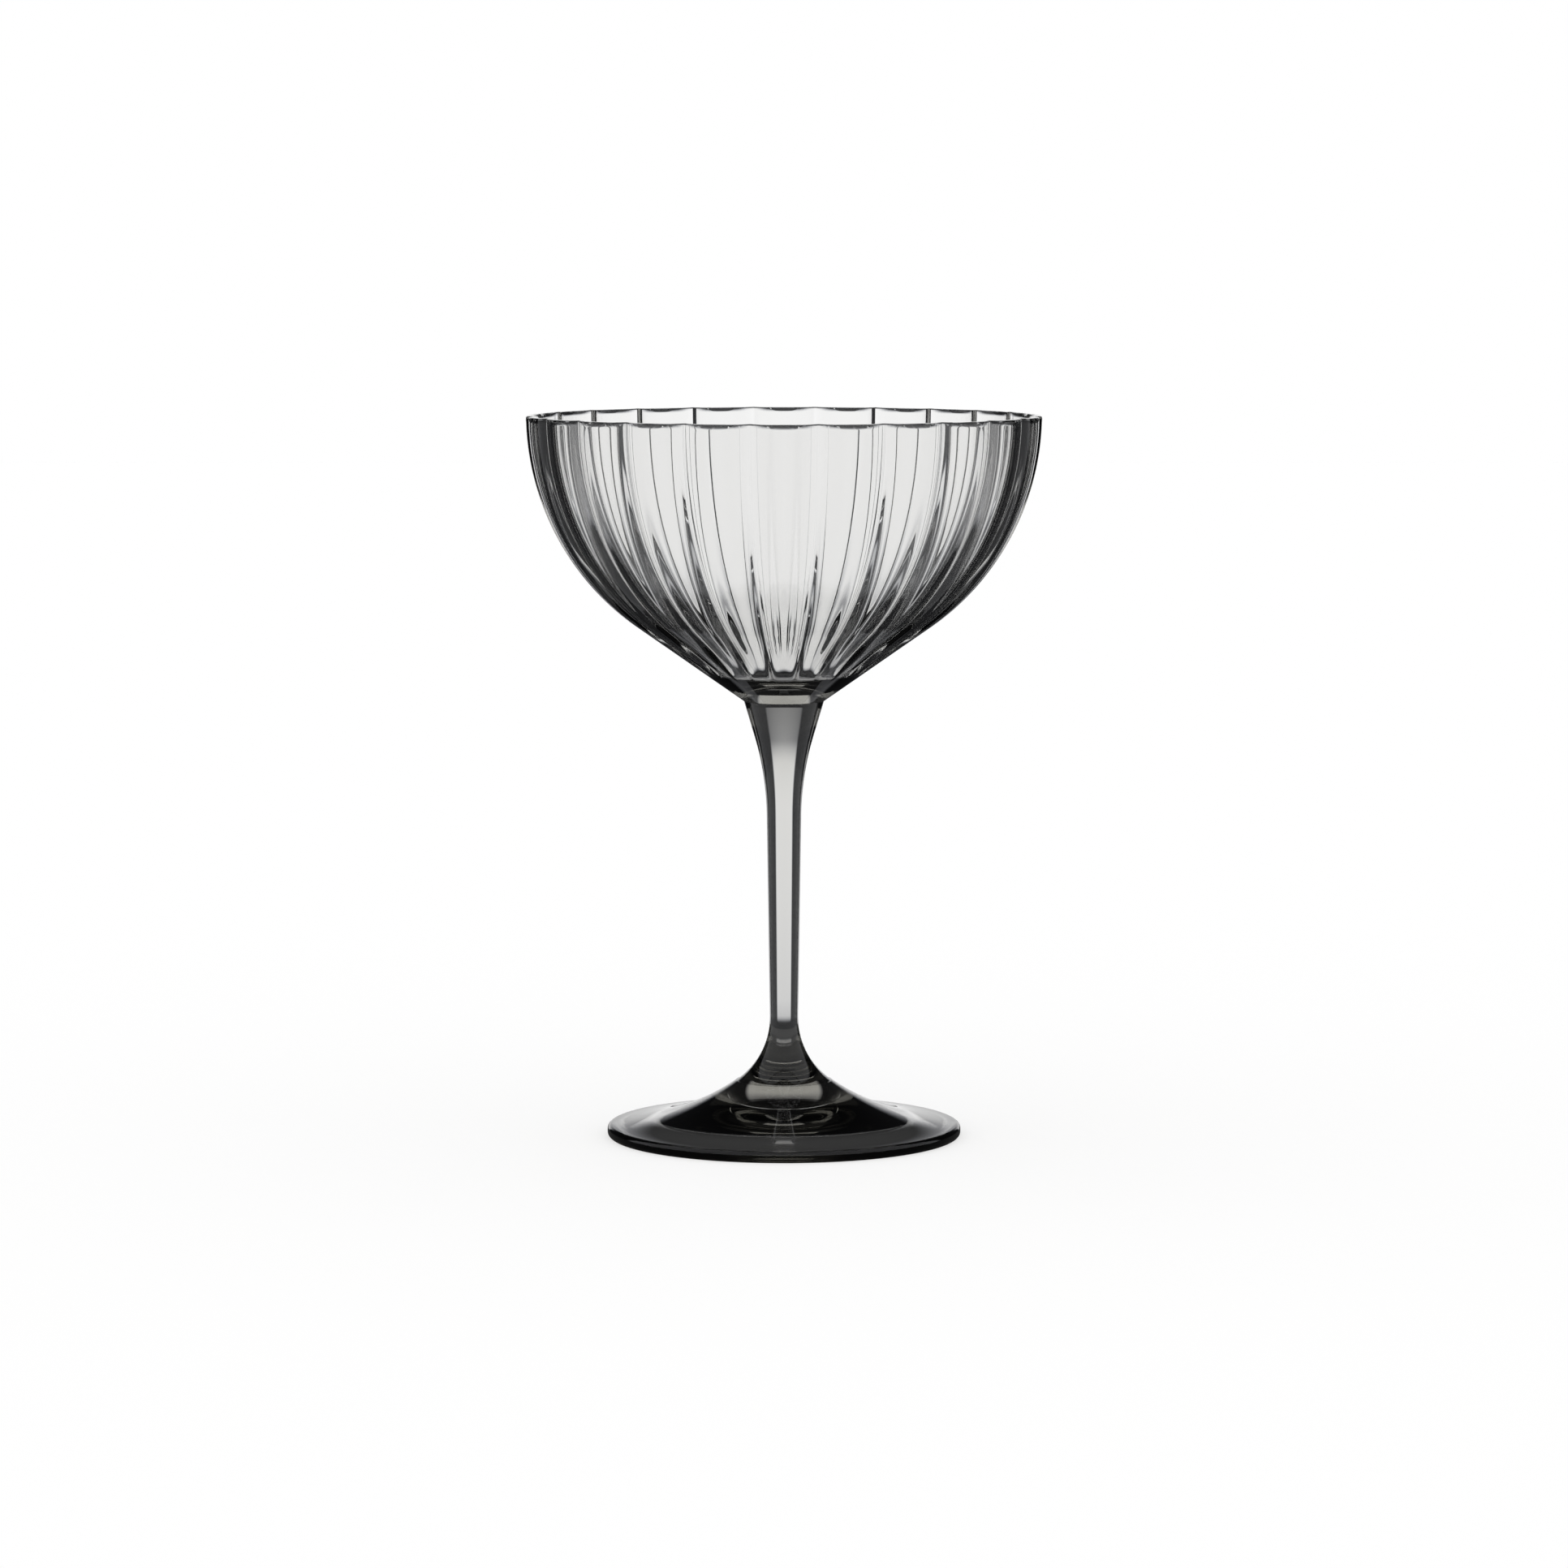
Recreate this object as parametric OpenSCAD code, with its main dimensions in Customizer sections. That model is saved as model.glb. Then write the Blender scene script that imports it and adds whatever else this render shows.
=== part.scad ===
// Fluted coupe glass: a thin fluted bowl, a drawn stem and a hollow-bottomed foot.
// The three pieces are fused hot, so each meets the next face to face.
// Origin: centre of the foot on the table, +Z up. A flute is centred on each axis.

/* [Whole glass] */
// Height from the table to the rim
glass_h = 138; // [130:1:150]
// Diameter of the rim, over the flutes
rim_d = 98; // [90:1:106]

/* [Bowl] */
// Height of the bowl, from its joint with the stem to the rim
bowl_h = 54.4; // [52:0.2:60]
// Slope of the lower part of the bowl, in degrees from level
base_slope = 34.8; // [32:0.2:38]
// Radius of the arc that the side of the bowl follows
side_r = 49.5; // [44:0.5:60]
// Thickness of the wall at the rim
rim_wall = 1.4; // [1.3:0.1:2]
// Thickness of the wall where the side runs down to the base
low_wall = 2.4; // [2:0.1:3.4]
// Thickness of the glass under the inside floor
floor_t = 4.4; // [3.6:0.1:6]
// Radius of the blend between the inside floor and the side
floor_blend_r = 12; // [8:0.5:14]

/* [Flutes] */
// Number of flutes round the bowl
flutes = 24; // [16:4:32]
// Depth of the grooves between the flutes, outside
groove_depth = 0.8; // [0.4:0.05:1]
// Depth of the softer waves that follow the grooves inside
wave_depth = 0.3; // [0:0.05:0.5]
// Sharpness of the grooves: a higher number makes them narrower
groove_power = 3; // [2:0.5:6]
// Diameter of the bowl where the flutes begin
flute_start_d = 28; // [20:1:36]
// Diameter of the bowl where the flutes reach their full depth
flute_full_d = 66; // [50:1:80]

/* [Rim] */
// Height of the polished bevel outside the rim
bevel_h = 1; // [0.6:0.1:1.5]
// Width of that bevel
bevel_w = 0.35; // [0.2:0.05:0.5]
// Rounding of the two edges of the lip
lip_r = 0.25; // [0.15:0.05:0.35]
// How far the lip dips over the middle of each flute
lip_dip = 0.1; // [0:0.05:0.2]

/* [Stem] */
// Diameter of the stem at its thinnest, just above the foot
stem_d = 5.4; // [4.8:0.1:7]
// Diameter of the joint between the stem and the bowl
bowl_joint_d = 15.3; // [13:0.1:17]
// Diameter of the stem where it is joined to the foot
foot_joint_d = 18; // [15:0.2:20]
// Radius of the flare above the foot
low_flare_r = 15; // [13:0.5:20]
// Radius of the flare below the bowl
high_flare_r = 55; // [40:1:70]
// Taper of the shaft, each side, in degrees
shaft_taper = 0.9; // [0.3:0.1:1.2]
// Slope of the cone below the bowl, each side, in degrees
cone_slope = 16.6; // [14:0.2:19]

/* [Foot] */
// Diameter of the foot
foot_d = 67.7; // [62:0.5:76]
// Height of the foot, from the table to its joint with the stem
foot_h = 10.7; // [9.5:0.1:13]
// Width of the step at the joint, all round
seam_w = 0.15; // [0.05:0.05:0.3]
// Radius of the hollow curve of the foot's upper side
foot_sweep_r = 46; // [36:1:60]
// Thickness of the foot at its edge
edge_t = 2.3; // [2.1:0.1:3]
// Rounding of the foot's edge, top and bottom
edge_r = 1; // [0.6:0.05:1.1]
// Width of the flat ring that the glass rests on
rest_w = 2.2; // [1.5:0.1:4]
// Height of the hollow under the foot, at its middle
hollow_h = 2.6; // [1:0.1:4]
// Diameter of the round mark in the middle of the underside
mark_d = 17.2; // [12:0.2:20]
// Depth of that mark
mark_depth = 0.3; // [0.1:0.05:0.5]

/* [Hidden] */
$fn = 192;
smoke = [0.48, 0.49, 0.47, 0.75];
dark_smoke = [0.3, 0.31, 0.3, 0.85];

bowl_z = glass_h - bowl_h;
rim_r = rim_d / 2;
stem_r = stem_d / 2;
bowl_joint_r = bowl_joint_d / 2;
foot_joint_r = foot_joint_d / 2;
foot_r = foot_d / 2;

// Points along each flute, from groove to groove, and along each stretch of the bowl's outline
flute_steps = 8;
outer_cone_steps = 5;
outer_arc_steps = 8;
inner_arc_steps = 8;
inner_blend_steps = 3;
sweep_steps = 24;
edge_steps = 8;

// A smooth step from 0 to 1
function ease(s) = let (c = max(0, min(1, s))) c * c * (3 - 2 * c);

// A point on a circle in an outline, where [x, y] stands for [radius, height]
function on_circle(centre, r, angle) = centre + r * [cos(angle), sin(angle)];

// Points of an arc from one angle to another, both ends included
function arc(centre, r, from, to, steps) =
    [for (i = [0:steps]) on_circle(centre, r, from + (to - from) * i / steps)];

// Centre of the arc of radius r from a to b that lies to the left of the way from a to b
function arc_centre(a, b, r) =
    let (half = (b - a) / 2, h = sqrt(r * r - half * half))
    a + half + h * [-half.y, half.x] / norm(half);

// The bowl's outer outline: a cone that runs up from the joint, then an arc that leads to the rim
outer_foot = [bowl_joint_r, bowl_z];
outer_rim = [rim_r, glass_h];
side_angle = base_slope - 90;
normal = [cos(side_angle), sin(side_angle)];
bend_share = (outer_foot - outer_rim) * normal / side_r;
rim_angle = side_angle + acos(1 - bend_share);
rim_normal = [cos(rim_angle), sin(rim_angle)];
outer_centre = outer_rim - side_r * rim_normal;
outer_turn = outer_centre + side_r * normal;

// The inner outline: an arc and a cone parallel to the outer one, then a blend and a flat floor
lip_in_r = rim_r - rim_wall;
inner_rim = [lip_in_r, glass_h];
inner_r = ((outer_foot - inner_rim) * normal - low_wall) / bend_share;
inner_centre = inner_rim - inner_r * rim_normal;
inner_turn = inner_centre + inner_r * normal;
floor_z = bowl_z + floor_t;
blend_z = floor_z + floor_blend_r;
blend_x = inner_turn.x - (floor_blend_r + (blend_z - inner_turn.y) * normal.y) / normal.x;

// Share of the full groove depth at a point of the outline
function flute_share(r) = ease((2 * r - flute_start_d) / (flute_full_d - flute_start_d));

// One ring of the bowl's skin: radius over the flutes, height, groove depth, largest radius, dip
function outer_ring(p) = [p.x, p.y, groove_depth * flute_share(p.x), p.x, 0];
function inner_ring(p) = [p.x, p.y, wave_depth * flute_share(p.x), p.x, 0];

bevel_angle = asin((glass_h - bevel_h - outer_centre.y) / side_r);
lip_angle = asin((glass_h - lip_r - inner_centre.y) / inner_r);
outer_side = [
    for (i = [0:outer_cone_steps - 1]) outer_foot + (outer_turn - outer_foot) * i / outer_cone_steps,
    each arc(outer_centre, side_r, side_angle, bevel_angle, outer_arc_steps)
];
inner_side = [
    each arc(inner_centre, inner_r, lip_angle, side_angle, inner_arc_steps),
    each arc([blend_x, blend_z], floor_blend_r, side_angle, -90, inner_blend_steps)
];
lip_out_r = rim_r - bevel_w;
lip = [
    [rim_r, glass_h - lip_r, groove_depth, lip_out_r, lip_dip],
    [rim_r - lip_r, glass_h, groove_depth, lip_out_r - lip_r, lip_dip],
    [lip_in_r + lip_r, glass_h, wave_depth, lip_in_r + lip_r, lip_dip]
];
rings = [
    for (p = outer_side) outer_ring(p),
    each lip,
    for (p = inner_side) inner_ring(p)
];

// Places across a flute, -1 and 1 in the grooves and 0 on its crest, closer together in the grooves
crossings = [for (k = [0:flute_steps - 1]) sin(180 * k / flute_steps - 90)];
pitch = 360 / flutes;

function ring_points(ring) = [
    for (f = [0:flutes - 1], u = crossings)
        let (
            angle = pitch * (f + u / 2),
            groove = pow(abs(u), groove_power),
            r = min(ring[0] - ring[2] * groove, ring[3])
        )
        [r * cos(angle), r * sin(angle), ring[1] - ring[4] * (1 - groove)]
];

// The shaft runs straight up from the low flare, and an arc leads it into the cone under the bowl
low_centre_x = stem_r + low_flare_r;
low_reach = low_centre_x - foot_joint_r;
shaft_foot = [stem_r, foot_h + sqrt(low_flare_r * low_flare_r - low_reach * low_reach)];
low_angle = 180 + atan2(shaft_foot.y - foot_h, low_reach);
shaft_rise = tan(shaft_taper);
cone_rise = tan(cone_slope);
shaft_run = bowl_z - shaft_foot.y;
bend_up = (bowl_joint_r - stem_r - cone_rise * shaft_run) / (shaft_rise - cone_rise);
bend = shaft_foot + [shaft_rise * bend_up, bend_up];
bend_leg = high_flare_r * tan((cone_slope - shaft_taper) / 2);
high_centre = bend + bend_leg * [-sin(shaft_taper), -cos(shaft_taper)]
    + high_flare_r * [cos(shaft_taper), -sin(shaft_taper)];

stem_outline = [
    [0, foot_h],
    each arc([low_centre_x, shaft_foot.y], low_flare_r, low_angle, 180, sweep_steps),
    each arc(high_centre, high_flare_r, 180 - shaft_taper, 180 - cone_slope, sweep_steps),
    [bowl_joint_r, bowl_z],
    [0, bowl_z]
];

// The foot's upper side sweeps from the joint out to the edge, and its underside is a shallow dome
boss_r = foot_joint_r + seam_w;
brink = [foot_r - edge_r, edge_t];
sweep_centre = arc_centre([boss_r, foot_h], brink, foot_sweep_r);
sweep_from = atan2(foot_h - sweep_centre.y, boss_r - sweep_centre.x);
sweep_to = atan2(brink.y - sweep_centre.y, brink.x - sweep_centre.x);
hollow_r = foot_r - edge_r - rest_w;
dome_r = (hollow_r * hollow_r + hollow_h * hollow_h) / (2 * hollow_h);
dome_centre = [0, hollow_h - dome_r];
dome_edge = acos(hollow_r / dome_r);
mark_edge = acos(mark_d / 2 / dome_r);
mark_z = on_circle(dome_centre, dome_r, mark_edge).y + mark_depth;

foot_outline = [
    [0, foot_h],
    each arc(sweep_centre, foot_sweep_r, sweep_from, sweep_to, sweep_steps),
    each arc([foot_r - edge_r, edge_t - edge_r], edge_r, 90, 0, edge_steps),
    each arc([foot_r - edge_r, edge_r], edge_r, 0, -90, edge_steps),
    each arc(dome_centre, dome_r, dome_edge, mark_edge, sweep_steps),
    [mark_d / 2, mark_z],
    [0, mark_z]
];

module bowl() {
    n = flutes * flute_steps;
    last = len(rings) - 1;
    points = [for (ring = rings) each ring_points(ring)];
    skin = [
        for (i = [0:last - 1], j = [0:n - 1])
            let (a = i * n + j, b = i * n + (j + 1) % n, c = b + n, d = a + n)
            each [[a, c, b], [a, d, c]]
    ];
    underside = [for (j = [0:n - 1]) j];
    floor_face = [for (j = [n - 1:-1:0]) last * n + j];
    color(smoke) polyhedron(points, [each skin, underside, floor_face]);
}

module stem() {
    color(dark_smoke) rotate_extrude() polygon(stem_outline);
}

module foot() {
    color(dark_smoke) rotate_extrude() polygon(foot_outline);
}

bowl();
stem();
foot();
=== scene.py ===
"""A fluted coupe glass on white paper.

Sizes are in millimetres until a mesh is made, and in metres after that. Angles are in degrees.
"""

import math

import bmesh
import bpy
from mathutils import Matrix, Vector


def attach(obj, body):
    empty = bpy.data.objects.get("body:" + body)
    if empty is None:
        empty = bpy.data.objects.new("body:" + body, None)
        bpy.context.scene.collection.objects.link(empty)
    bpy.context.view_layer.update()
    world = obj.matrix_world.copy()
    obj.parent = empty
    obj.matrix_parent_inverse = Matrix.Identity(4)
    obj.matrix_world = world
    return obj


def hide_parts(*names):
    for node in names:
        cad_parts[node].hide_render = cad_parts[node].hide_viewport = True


MM = 0.001
WHITE = (1.0, 1.0, 1.0, 1.0)

# Sizes that the solids have too
GLASS_H, RIM_D = 138.0, 98.0
BOWL_H, BASE_SLOPE, SIDE_R = 54.4, 34.8, 49.5
FLUTES, FLUTE_START_D = 24, 28.0
BEVEL_H, LIP_R, LIP_DIP = 1.0, 0.25, 0.1
STEM_D, BOWL_JOINT_D, FOOT_JOINT_D = 5.4, 15.3, 18.0
LOW_FLARE_R, HIGH_FLARE_R, SHAFT_TAPER, CONE_SLOPE = 15.0, 55.0, 0.9, 16.6
FOOT_D, FOOT_H, SEAM_W, FOOT_SWEEP_R = 67.7, 10.7, 0.15, 46.0
EDGE_T, REST_W = 2.3, 2.2

# Sizes that differ from the solids', chosen for how the glass bends the light
RIM_WALL, LOW_WALL, FLOOR_T, FLOOR_BLEND_R = 1.6, 1.6, 4.2, 11.2
GROOVE_DEPTH, GROOVE_POWER = 1.2, 5.0       # outside, between the flutes
WAVE_DEPTH, WAVE_POWER = 0.7, 2.0           # inside, following the grooves
GROOVE_ROUND = 0.06                         # rounding of their bottoms, as a share of half a flute
FLUTE_FULL_D, BEVEL_W = 48.0, 0.08
EDGE_R, HOLLOW_H = 0.85, 4.0
MARK_D, MARK_DEPTH = 17.4, 0.15
MARK_FOLLOW = 0.38                          # share of the hollow's rise that the mark's roof follows

# Points round the meshes, and rings along each stretch of their outlines
FLUTE_STEPS, TURN_STEPS = 24, 192
OUTER_CONE_STEPS, SIDE_STEPS, INNER_CONE_STEPS, BLEND_STEPS = 24, 48, 10, 12
LIP_TURNS = (0, 30, 60, 90)
FLOOR_RINGS = (4.0, 2.0, 0.6)               # radii of the last rings of the inside floor
FLARE_STEPS, SHAFT_STEPS, TOP_CONE_STEPS = 32, 12, 8
SWEEP_STEPS, EDGE_STEPS, HOLLOW_STEPS, MARK_STEPS = 48, 10, 40, 16

# Material slots of a piece: its glass, and the discs where it is fused to the next piece
GLASS, JOINT = 0, 1

# The glass, with lengths in metres. Its skin has hardly seen waves, and a polish that varies a little.
IOR, SMOKE, SMOKE_DENSITY = 1.5, (0.09, 0.075, 0.0, 1.0), 56.0
PASSING_LIGHT = (0.9, 0.9, 0.9, 1.0)        # what one surface lets through to the paper
WAVE_SCALE, WAVE_DETAIL, WAVE_STRENGTH, WAVE_HEIGHT = 90.0, 1.0, 0.12, 0.00003
POLISH_SCALE, POLISH_DETAIL, POLISH_BEST, POLISH_WORST = 260.0, 2.0, 0.0, 0.012

# The paper, and just under it a dark disc that only the glass shows: painted shade seen through the glass,
# which darkens the foot
FLOOR_HALF = 3000.0
SHADE_DISC_R, SHADE_DISC_DROP, SHADE_DISC_GLOW = 62.0, 0.3, 0.05

# The studio that the glass shows, as angles from straight behind the glass and from level. A lit panel
# stands behind it. The walls are lit from SIDE_FROM all the way round behind the camera. Two lit patches
# lie below: one low behind the glass and one under it. The rest is dark. SOFT is half of an edge's width.
PANEL_HALF, PANEL_SOFT, PANEL_LEVEL = 20.0, 2.0, 1.0
PANEL_LOW, PANEL_LOW_SOFT, PANEL_HIGH, PANEL_HIGH_SOFT = -9.2, 4.5, 12.0, 6.0
SIDE_FROM, SIDE_SOFT, SIDE_LEVEL = 60.0, 4.0, 0.6
UNDER_FROM, UNDER_SOFT = -65.0, 4.0
BEHIND_FROM, BEHIND_SOFT, BEHIND_HALF, BEHIND_LEVEL = -41.0, 3.0, 24.0, 0.4
DARK_LEVEL, DARK_COLOUR = 0.015, (0.95, 0.97, 1.04, 1.0)

# The camera, in metres, from a fit to the ellipses of the rim and the foot in the photo
CAMERA_AT, CAMERA_AIM = Vector((0, -1.07219, 0.17523)), Vector((0, 0, 0.06768))
SENSOR_W, LENS, CLIP_START = 36.0, 129.6, 0.01

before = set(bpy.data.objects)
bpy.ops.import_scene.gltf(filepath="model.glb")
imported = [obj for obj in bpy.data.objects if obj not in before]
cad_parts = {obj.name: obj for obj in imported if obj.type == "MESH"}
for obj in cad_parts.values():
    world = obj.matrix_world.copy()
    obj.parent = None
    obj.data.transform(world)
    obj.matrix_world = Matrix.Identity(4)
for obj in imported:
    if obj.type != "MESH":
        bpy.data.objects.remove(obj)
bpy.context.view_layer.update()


# Outlines, as points of radius and height
def polar(degrees):
    a = math.radians(degrees)
    return Vector((math.cos(a), math.sin(a)))


def arc(centre, r, start, end, steps):
    return [centre + r * polar(start + (end - start) * i / steps) for i in range(steps + 1)]


def line(a, b, steps):
    """Points from a towards b, without b."""
    return [a + (b - a) * i / steps for i in range(steps)]


def direction(centre, point):
    return math.degrees(math.atan2(point.y - centre.y, point.x - centre.x))


def direction_at(height, centre, r):
    """The direction from an arc's centre to the point where the arc reaches a height."""
    return math.degrees(math.asin((height - centre.y) / r))


# Meshes
def skin(name, rings, caps, sharp=()):
    """A closed mesh from rings of points in mm. caps gives the material slots of the first and last disc."""
    bm = bmesh.new()
    loops = [[bm.verts.new([c * MM for c in p]) for p in ring] for ring in rings]
    n = len(loops[0])
    for a, b in zip(loops, loops[1:]):
        for j in range(n):
            k = (j + 1) % n
            bm.faces.new((a[j], a[k], b[k], b[j]))
    first, last = bm.faces.new(list(reversed(loops[0]))), bm.faces.new(loops[-1])
    first.material_index, last.material_index = caps
    for f in bm.faces:
        f.smooth = True
    for i in (0, -1, *sharp):
        for j in range(n):
            bm.edges.get((loops[i][j], loops[i][(j + 1) % n])).smooth = False
    mesh = bpy.data.meshes.new(name)
    bm.normal_update()
    bm.to_mesh(mesh)
    bm.free()
    return place(name, mesh)


def place(name, mesh):
    obj = bpy.data.objects.new(name, mesh)
    bpy.context.scene.collection.objects.link(obj)
    return obj


def turned(outline):
    """Rings of a turned solid from its outline."""
    turns = [polar(360 * j / TURN_STEPS) for j in range(TURN_STEPS)]
    return [[(p.x * t.x, p.x * t.y, p.y) for t in turns] for p in outline]


# The bowl's outline. Outside, a cone leads into an arc that ends at the rim: how far the rim lies in from
# the cone's line gives the angle of the arc. The inside has a parallel cone and an arc of the same angle,
# with RIM_WALL between the two at the rim and LOW_WALL between the cones, then a blend and a flat floor.
bowl_z, rim_r, cone_angle = GLASS_H - BOWL_H, RIM_D / 2, BASE_SLOPE - 90
outer_foot, outer_rim = Vector((BOWL_JOINT_D / 2, bowl_z)), Vector((rim_r, GLASS_H))
cone_normal = polar(cone_angle)
bend_share = (outer_foot - outer_rim).dot(cone_normal) / SIDE_R
rim_normal = polar(cone_angle + math.degrees(math.acos(1 - bend_share)))
outer_centre = outer_rim - SIDE_R * rim_normal
outer_turn = outer_centre + SIDE_R * cone_normal
inner_rim = Vector((rim_r - RIM_WALL, GLASS_H))
inner_r = ((outer_foot - inner_rim).dot(cone_normal) - LOW_WALL) / bend_share
inner_centre = inner_rim - inner_r * rim_normal
inner_turn = inner_centre + inner_r * cone_normal
floor_z = bowl_z + FLOOR_T
blend_z = floor_z + FLOOR_BLEND_R
blend_x = inner_turn.x - (FLOOR_BLEND_R + (blend_z - inner_turn.y) * cone_normal.y) / cone_normal.x
blend_centre = Vector((blend_x, blend_z))
bevel_angle = direction_at(GLASS_H - BEVEL_H, outer_centre, SIDE_R)
bevel_r = (outer_centre + SIDE_R * polar(bevel_angle)).x

# Places across one flute, from -1 in a groove over 0 on the crest towards 1, closer together at the grooves
CROSSINGS = [math.sin(math.pi * k / FLUTE_STEPS - math.pi / 2) for k in range(FLUTE_STEPS)]


def flute_share(r):
    """How deep the flutes are at a radius, as a share of their full depth."""
    s = (2 * r - FLUTE_START_D) / (FLUTE_FULL_D - FLUTE_START_D)
    s = max(0.0, min(1.0, s))
    return s * s * (3 - 2 * s)


def wave(u, power):
    """A groove across one flute as a share of its depth: 0 on the crest, 1 in the rounded valley."""
    w = math.hypot(1 - abs(u), GROOVE_ROUND) - GROOVE_ROUND
    return max(0.0, 1 - w) ** power


def ring_of(spot):
    """A ring of the bowl. spot gives radius and height from the shares of the groove and the inside wave."""
    points = []
    for f in range(FLUTES):
        for u in CROSSINGS:
            r, z = spot(wave(u, GROOVE_POWER), wave(u, WAVE_POWER))
            t = polar(360 / FLUTES * (f + u / 2))
            points.append((r * t.x, r * t.y, z))
    return points


def outer_ring(p):
    return ring_of(lambda groove, ripple: (p.x - GROOVE_DEPTH * flute_share(p.x) * groove, p.y))


def inner_ring(p):
    return ring_of(lambda groove, ripple: (p.x - WAVE_DEPTH * flute_share(p.x) * ripple, p.y))


def crease(groove, ripple):
    """Where the polished bevel cuts the flutes: low on the crests, up to the lip at the grooves."""
    up = min(1.0, GROOVE_DEPTH * groove / BEVEL_W)
    return bevel_r - GROOVE_DEPTH * groove, GLASS_H - BEVEL_H + (BEVEL_H - LIP_R) * up


def lip_ring(turn, inside):
    """A ring of the rounded lip, turn degrees round its outer or its inner edge."""
    along, up = LIP_R * math.cos(math.radians(turn)), LIP_R * math.sin(math.radians(turn))

    def spot(groove, ripple):
        z = GLASS_H - LIP_R + up - LIP_DIP * (1 - groove)
        if inside:
            return rim_r - RIM_WALL + LIP_R - along - WAVE_DEPTH * ripple, z
        return min(rim_r - GROOVE_DEPTH * groove, rim_r - BEVEL_W) - LIP_R + along, z
    return ring_of(spot)


def make_bowl():
    rings = [outer_ring(p) for p in line(outer_foot, outer_turn, OUTER_CONE_STEPS)]
    rings += [outer_ring(p) for p in arc(outer_centre, SIDE_R, cone_angle, bevel_angle, SIDE_STEPS)[:-1]]
    bevel_ring = len(rings)
    rings.append(ring_of(crease))
    rings += [lip_ring(turn, False) for turn in LIP_TURNS]
    rings += [lip_ring(turn, True) for turn in reversed(LIP_TURNS[1:])]
    lip_angle = direction_at(GLASS_H - LIP_R, inner_centre, inner_r)
    blend = arc(blend_centre, FLOOR_BLEND_R, cone_angle, -90, BLEND_STEPS)
    inside = arc(inner_centre, inner_r, lip_angle, cone_angle, SIDE_STEPS)
    inside += line(inner_turn, blend[0], INNER_CONE_STEPS)[1:] + blend
    rings += [inner_ring(p) for p in inside]
    rings += [ring_of(lambda groove, ripple: (r, floor_z)) for r in FLOOR_RINGS]
    return skin("bowl_glass", rings, (JOINT, GLASS), sharp=(bevel_ring, bevel_ring + 1))


def make_stem():
    """The stem: a flare above the foot, a shaft that tapers, a flare below the bowl and a short cone."""
    stem_r = STEM_D / 2
    low_centre = Vector((stem_r + LOW_FLARE_R, 0))
    low_reach = low_centre.x - FOOT_JOINT_D / 2
    low_centre.y = FOOT_H + math.sqrt(LOW_FLARE_R ** 2 - low_reach ** 2)
    low_angle = 180 + math.degrees(math.atan2(low_centre.y - FOOT_H, low_reach))
    low_flare = arc(low_centre, LOW_FLARE_R, low_angle, 180, FLARE_STEPS)

    # The lines of the shaft and of the cone meet in the bend that the high flare rounds
    shaft_rise, cone_rise = math.tan(math.radians(SHAFT_TAPER)), math.tan(math.radians(CONE_SLOPE))
    bend_up = (outer_foot.x - stem_r - cone_rise * (bowl_z - low_centre.y)) / (shaft_rise - cone_rise)
    bend = Vector((stem_r + shaft_rise * bend_up, low_centre.y + bend_up))
    bend_leg = HIGH_FLARE_R * math.tan(math.radians((CONE_SLOPE - SHAFT_TAPER) / 2))
    high_centre = bend - bend_leg * polar(90 - SHAFT_TAPER) + HIGH_FLARE_R * polar(-SHAFT_TAPER)
    high_flare = arc(high_centre, HIGH_FLARE_R, 180 - SHAFT_TAPER, 180 - CONE_SLOPE, FLARE_STEPS)

    outline = low_flare[:-1] + line(low_flare[-1], high_flare[0], SHAFT_STEPS) + high_flare[:-1]
    outline += line(high_flare[-1], outer_foot, TOP_CONE_STEPS) + [outer_foot]
    return skin("stem_glass", turned(outline), (JOINT, JOINT))


def make_foot():
    """The foot: a step, a hollow sweep, a round edge, a flat ring, and a dome with a mark in its middle."""
    edge_x = FOOT_D / 2 - EDGE_R
    joint, boss = Vector((FOOT_JOINT_D / 2, FOOT_H)), Vector((FOOT_JOINT_D / 2 + SEAM_W, FOOT_H))
    brink = Vector((edge_x, EDGE_T))
    half = (brink - boss) / 2
    sweep_up = Vector((-half.y, half.x)).normalized()
    sweep_centre = boss + half + math.sqrt(FOOT_SWEEP_R ** 2 - half.length_squared) * sweep_up
    sweep_from, sweep_to = direction(sweep_centre, boss), direction(sweep_centre, brink)
    top = [boss] + arc(sweep_centre, FOOT_SWEEP_R, sweep_from, sweep_to, SWEEP_STEPS)[1:]
    edge = arc(Vector((edge_x, EDGE_T - EDGE_R)), EDGE_R, 90, 0, EDGE_STEPS)[1:]
    edge += arc(Vector((edge_x, EDGE_R)), EDGE_R, 0, -90, EDGE_STEPS)

    hollow_r = edge_x - REST_W
    dome_r = (hollow_r ** 2 + HOLLOW_H ** 2) / (2 * HOLLOW_H)
    dome_centre = Vector((0, HOLLOW_H - dome_r))
    dome_edge, mark_edge = (math.degrees(math.acos(r / dome_r)) for r in (hollow_r, MARK_D / 2))
    under = arc(dome_centre, dome_r, dome_edge, mark_edge, HOLLOW_STEPS)
    mark_z = under[-1].y
    roof = []
    for i in range(MARK_STEPS):
        r = MARK_D / 2 * (1 - i / MARK_STEPS)
        dome_rise = dome_centre.y + math.sqrt(dome_r ** 2 - r ** 2) - mark_z
        roof.append(Vector((r, mark_z + MARK_DEPTH + MARK_FOLLOW * dome_rise)))

    outline = [joint] + top + edge + under + roof
    outline.reverse()
    mark_ring, boss_ring = len(roof) - 1, len(outline) - 2
    return skin("foot_glass", turned(outline), (GLASS, JOINT), sharp=(mark_ring, mark_ring + 1, boss_ring))


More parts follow.
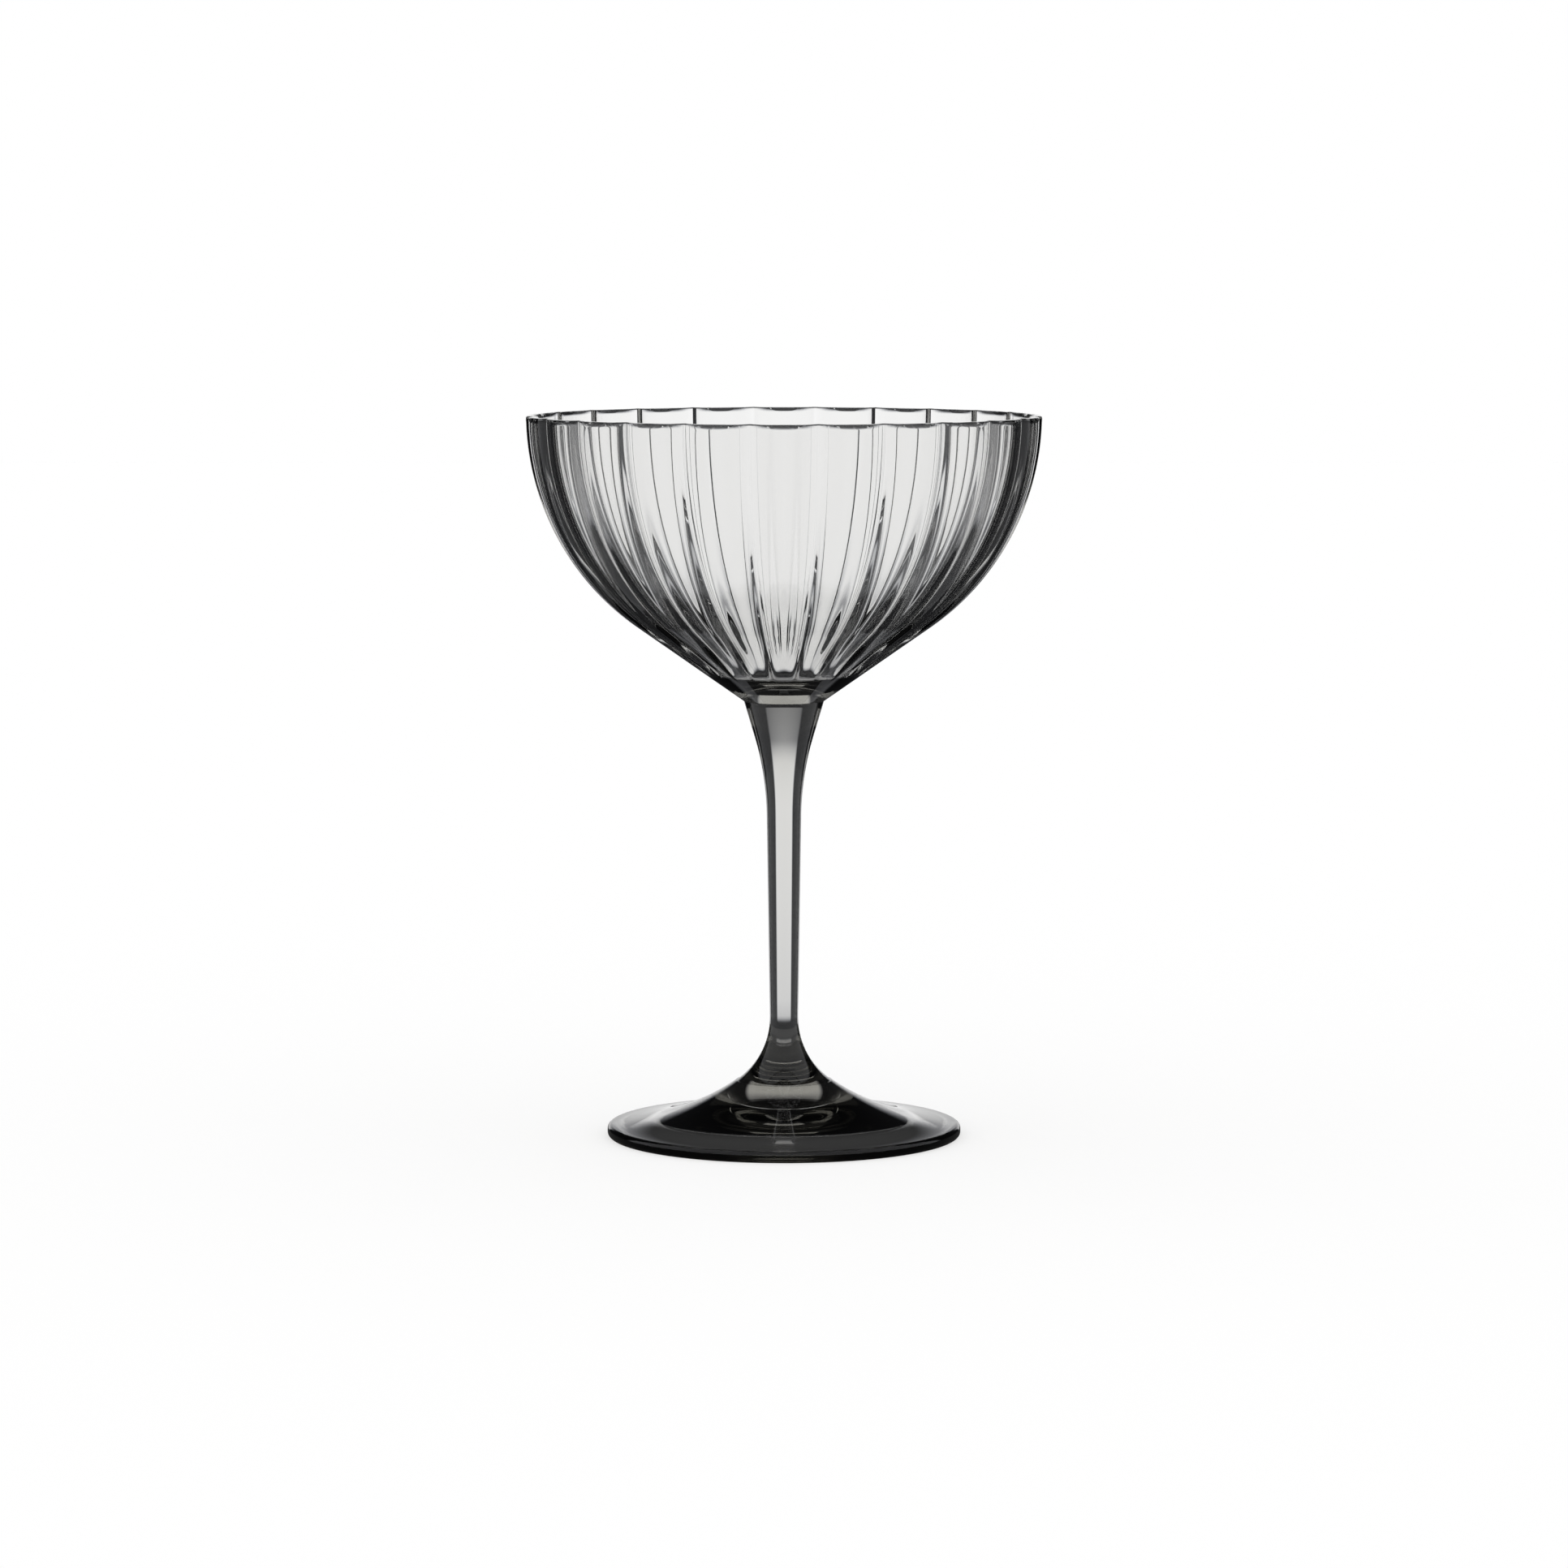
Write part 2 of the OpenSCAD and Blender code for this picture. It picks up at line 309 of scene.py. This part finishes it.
# Materials
def new_material(name, shader, **values):
    """A material of one shader, with that shader and the output. values go to the shader's own sockets."""
    mat = bpy.data.materials.new(name)
    mat.use_nodes = True
    nodes, links = mat.node_tree.nodes, mat.node_tree.links
    nodes.clear()
    out, body = nodes.new("ShaderNodeOutputMaterial"), nodes.new(shader)
    for socket, value in values.items():
        body.inputs[socket.replace("_", " ")].default_value = value
    links.new(body.outputs[0], out.inputs["Surface"])
    return mat, body, out


def noise(tree, coords, scale, detail):
    node = tree.nodes.new("ShaderNodeTexNoise")
    node.inputs["Scale"].default_value = scale
    node.inputs["Detail"].default_value = detail
    tree.links.new(coords.outputs["Object"], node.inputs["Vector"])
    return node.outputs["Fac"]


def glass(name):
    """Clear glass that absorbs light through its thickness. Shadow rays and the paper's rays pass unbent."""
    mat, body, out = new_material(
        name, "ShaderNodeBsdfPrincipled", Base_Color=WHITE, IOR=IOR, Transmission_Weight=1.0)
    nodes, links = mat.node_tree.nodes, mat.node_tree.links
    coords = nodes.new("ShaderNodeTexCoord")
    bump = nodes.new("ShaderNodeBump")
    bump.inputs["Strength"].default_value = WAVE_STRENGTH
    bump.inputs["Distance"].default_value = WAVE_HEIGHT
    links.new(noise(mat.node_tree, coords, WAVE_SCALE, WAVE_DETAIL), bump.inputs["Height"])
    links.new(bump.outputs["Normal"], body.inputs["Normal"])
    spread = nodes.new("ShaderNodeMapRange")
    spread.inputs["To Min"].default_value = POLISH_BEST
    spread.inputs["To Max"].default_value = POLISH_WORST
    links.new(noise(mat.node_tree, coords, POLISH_SCALE, POLISH_DETAIL), spread.inputs["Value"])
    links.new(spread.outputs["Result"], body.inputs["Roughness"])

    straight = nodes.new("ShaderNodeBsdfTransparent")
    straight.inputs["Color"].default_value = PASSING_LIGHT
    path = nodes.new("ShaderNodeLightPath")
    passing = nodes.new("ShaderNodeMath")
    passing.operation = "MAXIMUM"
    links.new(path.outputs["Is Shadow Ray"], passing.inputs[0])
    links.new(path.outputs["Is Diffuse Ray"], passing.inputs[1])
    mix = nodes.new("ShaderNodeMixShader")
    links.new(passing.outputs[0], mix.inputs[0])
    links.new(body.outputs[0], mix.inputs[1])
    links.new(straight.outputs[0], mix.inputs[2])
    links.new(mix.outputs[0], out.inputs["Surface"])

    smoke = nodes.new("ShaderNodeVolumeAbsorption")
    smoke.inputs["Color"].default_value = SMOKE
    smoke.inputs["Density"].default_value = SMOKE_DENSITY
    links.new(smoke.outputs[0], out.inputs["Volume"])
    return mat


bowl, stem, foot = make_bowl(), make_stem(), make_foot()
joint = new_material("fused_joint", "ShaderNodeBsdfTransparent")[0]
for piece, node in ((bowl, "bowl"), (stem, "stem"), (foot, "foot")):
    piece.data.materials.append(glass(node + "_glass"))
    piece.data.materials.append(joint)
    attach(piece, "root")
    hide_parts(node)


# Stage
def sheet(name, corners, height, material):
    """A flat face from its corners."""
    mesh = bpy.data.meshes.new(name)
    mesh.from_pydata([(p.x * MM, p.y * MM, height * MM) for p in corners], [], [tuple(range(len(corners)))])
    mesh.materials.append(material)
    return place(name, mesh)


paper = new_material("floor_paper", "ShaderNodeBsdfDiffuse", Color=WHITE)[0]
floor_corners = [Vector((x * FLOOR_HALF, y * FLOOR_HALF)) for x, y in ((-1, -1), (1, -1), (1, 1), (-1, 1))]
floor = sheet("floor", floor_corners, 0, paper)
floor.visible_transmission = False
floor.visible_glossy = False

# Painted shade: a dimly glowing disc under the paper, hidden from the camera, the paper's light and shadows,
# that the glass sees in place of the paper, so the foot looks dark
dim = new_material("dark_table", "ShaderNodeEmission", Strength=SHADE_DISC_GLOW)[0]
table = sheet("table", [SHADE_DISC_R * polar(360 * j / TURN_STEPS) for j in range(TURN_STEPS)], -SHADE_DISC_DROP, dim)
table.visible_camera = False
table.visible_diffuse = False
table.visible_shadow = False


# Studio
def maths(tree, operation, a, b=None):
    """A Math node's result. Each input is a number or another node's output."""
    node = tree.nodes.new("ShaderNodeMath")
    node.operation = operation
    for socket, value in zip(node.inputs, (a, b)):
        if isinstance(value, (int, float)):
            socket.default_value = value
        elif value is not None:
            tree.links.new(value, socket)
    return node.outputs[0]


def soft_step(tree, angle, middle, soft, first, last):
    """From first to last as an angle passes middle, smooth over soft degrees to either side."""
    node = tree.nodes.new("ShaderNodeMapRange")
    node.interpolation_type = "SMOOTHSTEP"
    tree.links.new(angle, node.inputs["Value"])
    node.inputs["From Min"].default_value = math.radians(middle - soft)
    node.inputs["From Max"].default_value = math.radians(middle + soft)
    node.inputs["To Min"].default_value = first
    node.inputs["To Max"].default_value = last
    return node.outputs[0]


def above(tree, angle, middle, soft):
    return soft_step(tree, angle, middle, soft, 0, 1)


def below(tree, angle, middle, soft):
    return soft_step(tree, angle, middle, soft, 1, 0)


def make_studio():
    """The world: plain white for the camera and the paper, and the studio for the glass."""
    world = bpy.data.worlds.new("studio")
    world.use_nodes = True
    tree = world.node_tree
    coords = tree.nodes.new("ShaderNodeTexCoord")
    ray = tree.nodes.new("ShaderNodeSeparateXYZ")
    tree.links.new(coords.outputs["Generated"], ray.inputs[0])
    away = maths(tree, "ABSOLUTE", maths(tree, "ARCTAN2", ray.outputs["X"], ray.outputs["Y"]))
    height = maths(tree, "ARCSINE", ray.outputs["Z"])

    panel = maths(tree, "MULTIPLY",
                  below(tree, away, PANEL_HALF, PANEL_SOFT),
                  maths(tree, "MULTIPLY",
                        above(tree, height, PANEL_LOW, PANEL_LOW_SOFT),
                        below(tree, height, PANEL_HIGH, PANEL_HIGH_SOFT)))
    sides = maths(tree, "MAXIMUM",
                  above(tree, away, SIDE_FROM, SIDE_SOFT),
                  below(tree, height, UNDER_FROM, UNDER_SOFT))
    behind = maths(tree, "MULTIPLY",
                   below(tree, height, BEHIND_FROM, BEHIND_SOFT),
                   below(tree, away, BEHIND_HALF, BEHIND_SOFT))
    lit = maths(tree, "MULTIPLY", panel, PANEL_LEVEL)
    for patch, strength in ((behind, BEHIND_LEVEL), (sides, SIDE_LEVEL)):
        lit = maths(tree, "MAXIMUM", lit, maths(tree, "MULTIPLY", patch, strength))
    level = maths(tree, "MAXIMUM", lit, DARK_LEVEL)

    path = tree.nodes.new("ShaderNodeLightPath")
    glassy = maths(tree, "MAXIMUM", path.outputs["Is Transmission Ray"], path.outputs["Is Glossy Ray"])
    lost = maths(tree, "MULTIPLY", glassy, maths(tree, "SUBTRACT", 1.0, level))
    unlit = maths(tree, "MULTIPLY", glassy, maths(tree, "SUBTRACT", 1.0, lit))
    tint = tree.nodes.new("ShaderNodeMixRGB")
    tint.inputs["Color1"].default_value = WHITE
    tint.inputs["Color2"].default_value = DARK_COLOUR
    tree.links.new(unlit, tint.inputs["Fac"])
    background = tree.nodes["Background"]
    tree.links.new(tint.outputs["Color"], background.inputs["Color"])
    tree.links.new(maths(tree, "SUBTRACT", 1.0, lost), background.inputs["Strength"])
    return world


def make_camera():
    camera = place("camera", bpy.data.cameras.new("camera"))
    camera.location = CAMERA_AT
    camera.rotation_euler = (CAMERA_AIM - CAMERA_AT).to_track_quat("-Z", "Y").to_euler()
    camera.data.sensor_width = SENSOR_W
    camera.data.lens = LENS
    camera.data.clip_start = CLIP_START
    return camera


bpy.context.scene.world = make_studio()
bpy.context.scene.camera = make_camera()
bpy.context.scene.view_settings.view_transform = "Standard"
